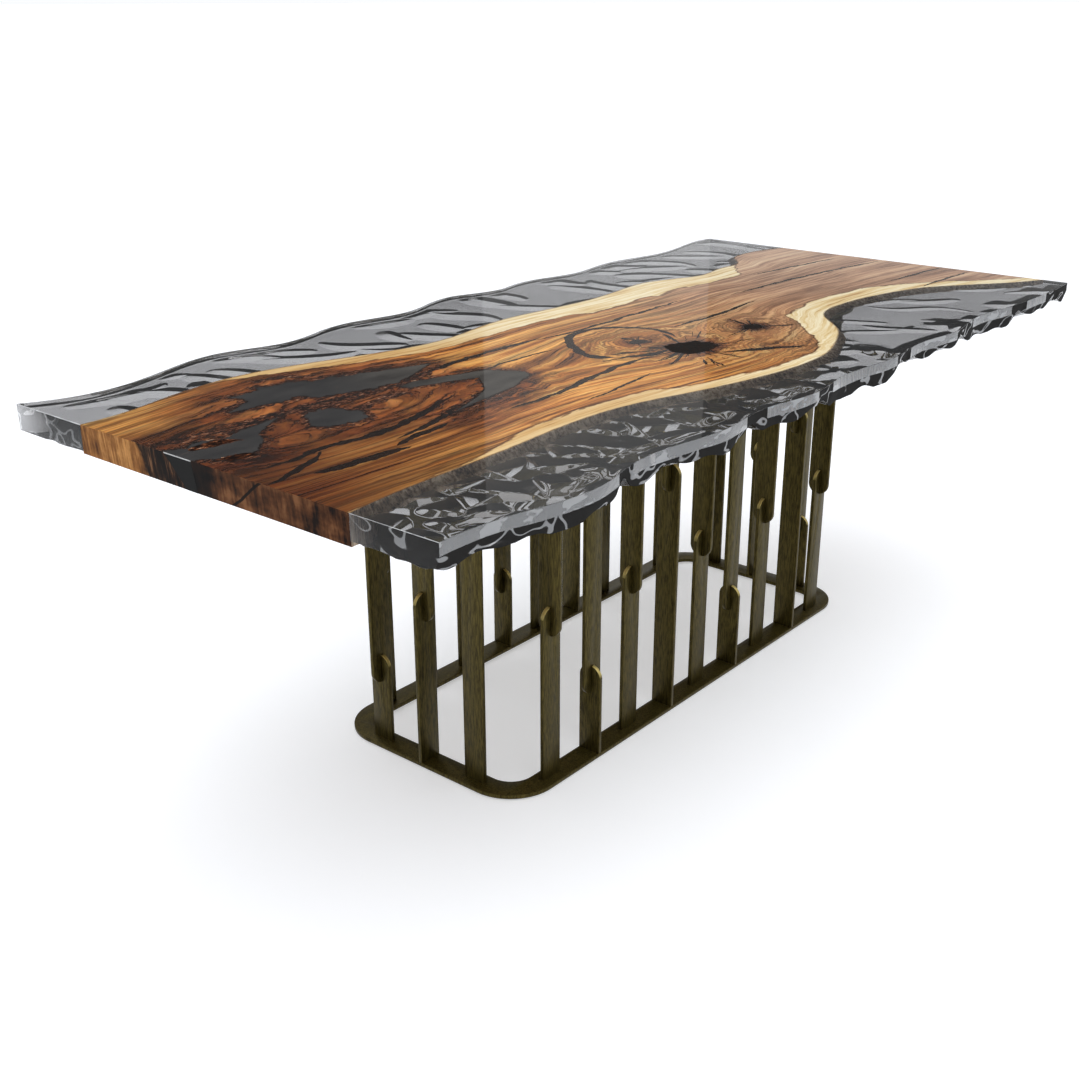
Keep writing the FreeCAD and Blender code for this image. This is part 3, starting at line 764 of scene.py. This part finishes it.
def liveEdgeWood():
    wood = Finish("oiledWalnut", {"Specular IOR Level": 0.04, "Coat Roughness": 0.02, "Coat IOR": 1.5})
    x, y, z = wood.place()
    lower = topZ - z
    spot = wood.vector(x, y, z)
    heart, edge, eye, voidGap = (wood.attribute(name) for name in ("heart", "edge", "eye", "voidGap"))
    end = abs(x).step(endX - 0.0012, endX - 0.0008)
    rotten, knot = 1 - voidGap.step(0.012, 0.11), 1 - eye.step(0.03, 0.17)
    burl, wild = rotten.most(knot), (rotten * 0.5).most(knot)
    tight = x.step(-0.56, -0.36)        # knots past the voids spoil less of the wood
    dark = 1 - voidGap.step(0.03 - tight * 0.028, 0.17 - tight * 0.135)
    dark = dark.most((1 - eye.step(0.012, 0.05)) * 0.8)
    curl = wood.noise(spot, 15.0, 4.0, 0.6) - 0.5
    twist = wood.noise(spot, 48.0, 4.0, 0.6) - 0.5
    grain = wood.attribute("grain") + lower * 0.55
    grain = grain + curl * (0.010 + wild * 0.090) + twist * (0.001 + wild * 0.020)
    broad = wood.noise(wood.vector(x * 0.9, grain * 11, 0.0), 1.0, 3.0, 0.5, 0.3)
    streak = wood.noise(wood.vector(x * 2.6, grain * 66, lower * 4), 1.0, 7.0, 0.65, 0.2)
    fine = wood.noise(wood.vector(x * 11, grain * 330, lower * 60), 1.0, 3.0, 0.6)
    pores = wood.noise(wood.vector(x * 34, grain * 700, lower * 90), 1.0, 2.0, 0.5).step(0.60, 0.70)
    ring = 1 - abs(wood.noise(wood.vector(x * 0.7, grain * 30, 3.0), 1.0, 4.0, 0.5, 0.5) * 2 - 1)
    line = 1 - abs(wood.noise(wood.vector(x * 1.7, grain * 84, 7.0), 1.0, 3.0, 0.5, 0.4) * 2 - 1)
    flow = 1 - abs(wood.noise(wood.vector(x * 5, grain * 30, 9.0), 1.0, 4.0, 0.55, 0.6) * 2 - 1)
    tone = broad * 0.36 + streak * 0.44 + fine * 0.20
    knotty = wood.ramp(tone + curl * 0.45, walnut["knotty"])
    paint = wood.mix(x.step(-0.25, 0.70), wood.ramp(tone, walnut["near"]), wood.ramp(tone, walnut["far"]))
    stain = wood.noise(wood.vector(x * 2.6, y * 8, 2.0), 1.0, 4.0, 0.6).step(0.50, 0.62)
    paint = wood.mix(stain * x.step(0.35, 0.60) * 0.35, paint, shades["stain"], "MULTIPLY")
    paint = wood.mix(dark * 0.85, paint, knotty)
    paint = wood.mix(dark * (1 - tight) * 0.35, paint, shades["rot"], "MULTIPLY")
    # painted shade: the wood darkens towards the near end, most towards the front edge
    shade = (1 - x.step(-1.14, -0.50)) * (1 - y.step(-0.22, 0.34) * 0.8)
    paint = wood.mix(shade, paint, shades["nearEndShade"], "MULTIPLY")
    plain = 1 - x.step(0.15, 0.60) * 0.7
    paint = wood.mix((ring ** 18.0) * plain * 0.80, paint, marks["ring"])
    paint = wood.mix((line ** 12.0) * plain * 0.55, paint, marks["line"])
    paint = wood.mix((flow ** 9.0) * (dark * 0.70 + burl * 0.25), paint, marks["flow"])
    paint = wood.mix(pores * 0.30, paint, marks["pore"])
    ringed = ((eye * 760 + curl * 16).math("SINE") * 0.5 + 0.5) ** 2.0 * (1 - eye.step(0.05, 0.16))
    paint = wood.mix(ringed * 0.55, paint, marks["eye"])
    sway = wood.noise(wood.vector(x * 7, y * 26, 1.0), 1.0, 5.0, 0.65) - 0.5
    bound = heart + sway * 0.050
    pale = wood.ramp(streak * 0.75 + fine * 0.25, walnut["sap"])
    # painted shade: the sapwood darkens towards the near end
    pale = wood.mix(1 - x.step(-0.45, 0.0), pale, shades["sap"], "MULTIPLY")
    paint = wood.mix(1 - bound.step(-0.003, 0.003), paint, pale)
    paint = wood.mix((1 - abs(bound - 0.003).step(0.0, 0.005)) * 0.7, paint, marks["sapLine"])
    rough = wood.noise(spot, 42.0, 6.0, 0.7)
    lip = (rough * 0.008 - 0.0005 - edge).step(-0.0015, 0.0015)
    paint = wood.mix(lip * 0.75, paint, marks["lip"])
    wobble, tear = tornEdge(wood, x, y)
    split = crackMask(x, y, wobble, tear, cracks).most(starMask(wood, x, y))
    split = split.most(ringMask(x, y, wobble, tear))
    paint = wood.mix(split * 0.96, paint, marks["split"])
    thin = x.step(-0.58, -0.44) * 0.014         # less bark round the outer void and the knots
    bark = (rough * 0.070 - 0.020 - thin - voidGap).step(-0.002, 0.003)
    bark = bark.most(crackMask(x, y, wobble * 1.6, tear, crustBands))
    paint = wood.mix(bark * 0.92, paint, crustPaint(wood, x, y, z))
    paint = wood.mix((1 - voidGap.step(0.001, 0.005)) * 0.8, paint, marks["voidEdge"])
    paint = wood.mix(end, paint, endGrain(wood, x, y, lower))
    wood.feed("Base Color", paint)
    wood.feed("Roughness", 0.24 + streak * 0.16)
    wood.feed("Coat Weight", 1 - end)
    return wood.owner


# each a knot's x and y, the hole's radius and the longest ray
stars = [(-0.031, -0.173, 0.028, 0.130), (0.209, -0.170, 0.018, 0.075), (-0.057, -0.064, 0.017, 0.026)]


def starMask(wood, x, y):           # cracks that fan out from a knot's heart
    mask = 0.0
    for midX, midY, hole, ray in stars:
        dx, dy = (x - midX) / slab["knotLong"], y - midY
        far = (dx * dx + dy * dy) ** 0.5 + 0.0001
        fan = wood.noise(wood.vector(dx / far * 5.5 + midX * 40, dy / far * 5.5, far * 6), 1.0, 4.0, 0.7)
        mask = ((fan.step(0.48, 0.68) * ray + hole - far) / 0.004).most(mask)
    return mask.step(0.0, 1.0)


def endGrain(wood, x, y, lower):    # ribs down the sawn end, bark round its void, one slanting crack
    rib = wood.noise(wood.vector(x * 3, y * 110 + lower * 14, lower * 14), 1.0, 5.0, 0.65)
    patch = wood.noise(wood.vector(x, y * 14, lower * 20), 1.0, 4.0, 0.6)
    near = 1 - x.step(-1.0, 0.0)
    sawn = wood.ramp(rib * 0.6 + patch * 0.4, walnut["sawn"])
    brown = wood.ramp(rib * 0.35 + patch * 0.65, walnut["brown"])
    sawn = wood.mix((1 - y.step(0.06, 0.16)) * near, sawn, brown)
    slant = y + lower * 0.75 + (patch - 0.5) * 0.05
    band = slant.step(0.030, 0.045) * (1 - slant.step(0.148, 0.160)) * near
    sawn = wood.mix(band * 0.95, sawn, wood.ramp(rib, walnut["char"]))
    sawn = wood.mix((1 - abs(y + 0.005).step(0.02, 0.05)) * near * 0.90, sawn, marks["endVoid"])
    crack = 1 - abs(y + 0.151 - lower * 1.30 + (patch - 0.5) * 0.012).step(0.0030, 0.0045)
    return wood.mix(crack * near * 0.95, sawn, marks["endCrack"])


def barkEdge():
    bark = Finish("barkEdge", {"Specular IOR Level": 0.2})
    x, y, z = bark.place()
    fibre = bark.noise(bark.vector(x * 150, y * 150, z * 16), 1.0, 5.0, 0.65)
    patch = bark.noise(bark.vector(x * 14, y * 14, z * 10), 1.0, 4.0, 0.6)
    tone = fibre * 0.6 + patch * 0.4
    bark.feed("Base Color", bark.ramp(tone, walnut["bark"]))
    bark.feed("Roughness", 0.7 + fibre * 0.25)
    bark.bump(tone, 0.004)
    return bark.owner


slabPiece = makeSlab()
shapeBark(slabPiece)
pickBark(slabPiece)
for finish in (liveEdgeWood(), barkEdge()):
    slabPiece.data.materials.append(finish)
smooth(slabPiece, 30)
settle(slabPiece, "wood_slab")
print("slab made:", len(slabPiece.data.polygons), "faces")


def makeFill(node, loops):
    bpy.ops.object.select_all(action="DESELECT")
    bpy.ops.mesh.primitive_circle_add(vertices=len(loops[0]), fill_type="NGON")
    piece = bpy.context.object
    piece.name = piece.data.name = f"{node}_poured"
    bpy.ops.object.mode_set(mode="EDIT")
    for loop in loops[1:]:
        bpy.ops.mesh.primitive_circle_add(vertices=len(loop), fill_type="NGON")
    bpy.ops.object.mode_set(mode="OBJECT")
    setSpots(piece, np.vstack([np.column_stack((loop, np.full(len(loop), footOf(loop)))) for loop in loops]))
    raiseTop()
    spots = gridSpots(piece)
    foot = spots[:, 2] < bottomZ + 1e-6             # an end void narrows on the way down
    if foot.any():
        spots[foot, 1] = fills["endHeart"] + (spots[foot, 1] - fills["endHeart"]) * fills["endNarrow"]
        setSpots(piece, spots)
    smooth(piece, 40)
    flattenTop(piece)
    return piece


def footOf(loop):                   # a void at the end of the board goes right through it
    return bottomZ if np.abs(loop[:, 0]).max() > endX - 0.003 else topZ - fills["depth"]


barkIslands = [     # tongues of bark in the end void, as the cracks are given
    ([(-1.072, 0.050), (-1.041, 0.052), (-1.010, 0.050), (-0.982, 0.030)], 0.010),
    ([(-1.092, -0.018), (-1.063, -0.036), (-1.033, -0.036), (-1.006, -0.052)], 0.014),
]
poured = {"deep": (60, 57, 54), "light": (82, 79, 75), "nearEndShade": (46, 47, 50), "sawn": (26, 26, 25),
          "paintedEdgeHighlight": (205, 205, 204), "fleck": (150, 120, 92)}
rotted = [(0.45, (9, 7, 6)), (0.75, (40, 24, 15))]      # ramp of the knots' hearts


def voidResin():
    pour = Finish("voidResin", {"Specular IOR Level": 0.0, "Coat Roughness": 0.02, "Coat IOR": 1.5})
    x, y, z = pour.place()
    cloud = pour.noise(pour.vector(x * 9, y * 22, z * 9), 1.0, 5.0, 0.6)
    fleck = pour.noise(pour.vector(x * 60, y * 240, z * 60), 1.0, 3.0, 0.6).step(0.70, 0.76)
    tint = pour.ramp(cloud, [(0.35, poured["deep"]), (0.65, poured["light"])])
    # painted shade: the pour darkens towards the near end
    tint = pour.mix((1 - x.step(-0.72, -0.46)) * 0.6, tint, poured["nearEndShade"])
    end = abs(x).step(endX - 0.0008, endX - 0.0004)
    island = crackMask(x, y, *tornEdge(pour, x, y), barkIslands)
    tint = pour.mix(island * (1 - end), tint, crustPaint(pour, x, y, z))
    # painted shade: the sawn end face is painted nearly black
    tint = pour.mix(end * 0.85, tint, poured["sawn"])
    # painted highlight: a pale line along the top edge of the end face
    tint = pour.mix(end * z.step(topZ - 0.0018, topZ - 0.0014), tint, poured["paintedEdgeHighlight"])
    pour.feed("Base Color", pour.mix(fleck * 0.25, tint, poured["fleck"]))
    pour.feed("Roughness", 0.30 + cloud * 0.10)
    pour.feed("Coat Weight", 1 - end * 0.85)
    return pour.owner


def knotHearts():                   # rotted hearts of two knots, dull and nearly black
    rot = Finish("knotHearts", {"Specular IOR Level": 0.1})
    x, y, z = rot.place()
    crumb = rot.noise(rot.vector(x, y, z), 160.0, 5.0, 0.7)
    rot.feed("Base Color", rot.ramp(crumb, rotted))
    rot.feed("Roughness", 0.7 + crumb * 0.3)
    rot.bump(crumb, 0.002)
    return rot.owner


for node, slot, finish in (("void_fills", "void_resin", voidResin()),
                           ("knot_fills", "knot_resin", knotHearts())):
    fill = makeFill(node, fillLoops[node])
    fill.data.materials.append(finish)
    settle(fill, node)
print("voids filled")


# Base: bars and rings with eased arrises in brushed bronze
bronze = {"ease": 0.0008, "tip": 0.026, "deep": (54, 47, 22), "light": (94, 83, 42),
          "paintedTipHighlight": (240, 218, 140)}


def easedCopy(node):
    piece = nodes[node].copy()
    piece.data = nodes[node].data.copy()
    piece.name = piece.data.name = f"{node}_eased"
    for key in list(piece.keys()):
        del piece[key]
    bpy.context.scene.collection.objects.link(piece)
    select(piece)
    bpy.ops.object.mode_set(mode="EDIT")
    bpy.ops.mesh.select_all(action="SELECT")
    bpy.ops.mesh.remove_doubles(threshold=1e-5)
    bpy.ops.mesh.dissolve_limited(angle_limit=math.radians(1))
    bpy.ops.object.mode_set(mode="OBJECT")
    easeEdges(piece, bronze["ease"], 40)
    piece.data.materials.clear()
    smooth(piece, 35)
    if "lower_bar" in node:
        markTipHighlight(piece)
    return piece


def markTipHighlight(piece):                 # painted highlight: the up-facing faces of a bar's rounded upper end are coloured pale gold
    faces = piece.data.polygons
    height = np.array([face.center.z for face in faces])
    rise = np.array([face.normal.z for face in faces])
    tip = np.where(height > height.max() - bronze["tip"], np.clip((rise - 0.15) / 0.4, 0, 1), 0)
    setAttribute(piece, "tip", tip, "FACE")


def brushedBronze():
    metal = Finish("brushedBronze", {"Metallic": 0.55, "Specular IOR Level": 0.12})
    x, y, z = metal.place()
    brush = metal.noise(metal.vector(x * 380, y * 380, z * 42), 1.0, 4.0, 0.7)
    tint = metal.ramp(brush, [(0.38, bronze["deep"]), (0.62, bronze["light"])])
    # painted highlight: pale gold on the lower bars' tips
    metal.feed("Base Color", metal.mix(metal.attribute("tip"), tint, bronze["paintedTipHighlight"]))
    metal.feed("Roughness", 0.30 + brush * 0.16)
    return metal.owner


bronzeFinish = brushedBronze()
barNames = sorted(name for name in nodes if "_bar_" in name) + ["bottom_ring", "top_ring"]
for name in barNames:
    bar = easedCopy(name)
    bar.data.materials.append(bronzeFinish)
    settle(bar, name)
print("base dressed:", len(barNames), "pieces")


# Hardware: its shapes are the frame's own, so only the finishes are new
hardware = {        # a finish's name, two tints, how metallic, how rough and how fine its flecks are
    "glide_pads": ("padRubber", (22, 22, 23), (40, 40, 41), 0.0, 0.70, 900.0),
    "mounting_bolts": ("plainSteel", (138, 140, 142), (176, 178, 180), 1.0, 0.28, 700.0),
    "threaded_inserts": ("insertBrass", (176, 138, 70), (212, 176, 104), 1.0, 0.26, 700.0)}


def flecked(name, deep, light, metallic, roughness, fineness):
    finish = Finish(name, {"Metallic": metallic})
    x, y, z = finish.place()
    grain = finish.noise(finish.vector(x, y, z), fineness, 4.0, 0.6)
    finish.feed("Base Color", finish.ramp(grain, [(0.32, deep), (0.68, light)]))
    finish.feed("Roughness", roughness + grain * 0.15)
    finish.bump(grain, 0.0002)
    return finish.owner


for name, looks in hardware.items():
    finish = flecked(*looks)
    for place in nodes[name].material_slots:
        place.material = finish
print("hardware finished:", len(hardware), "nodes")
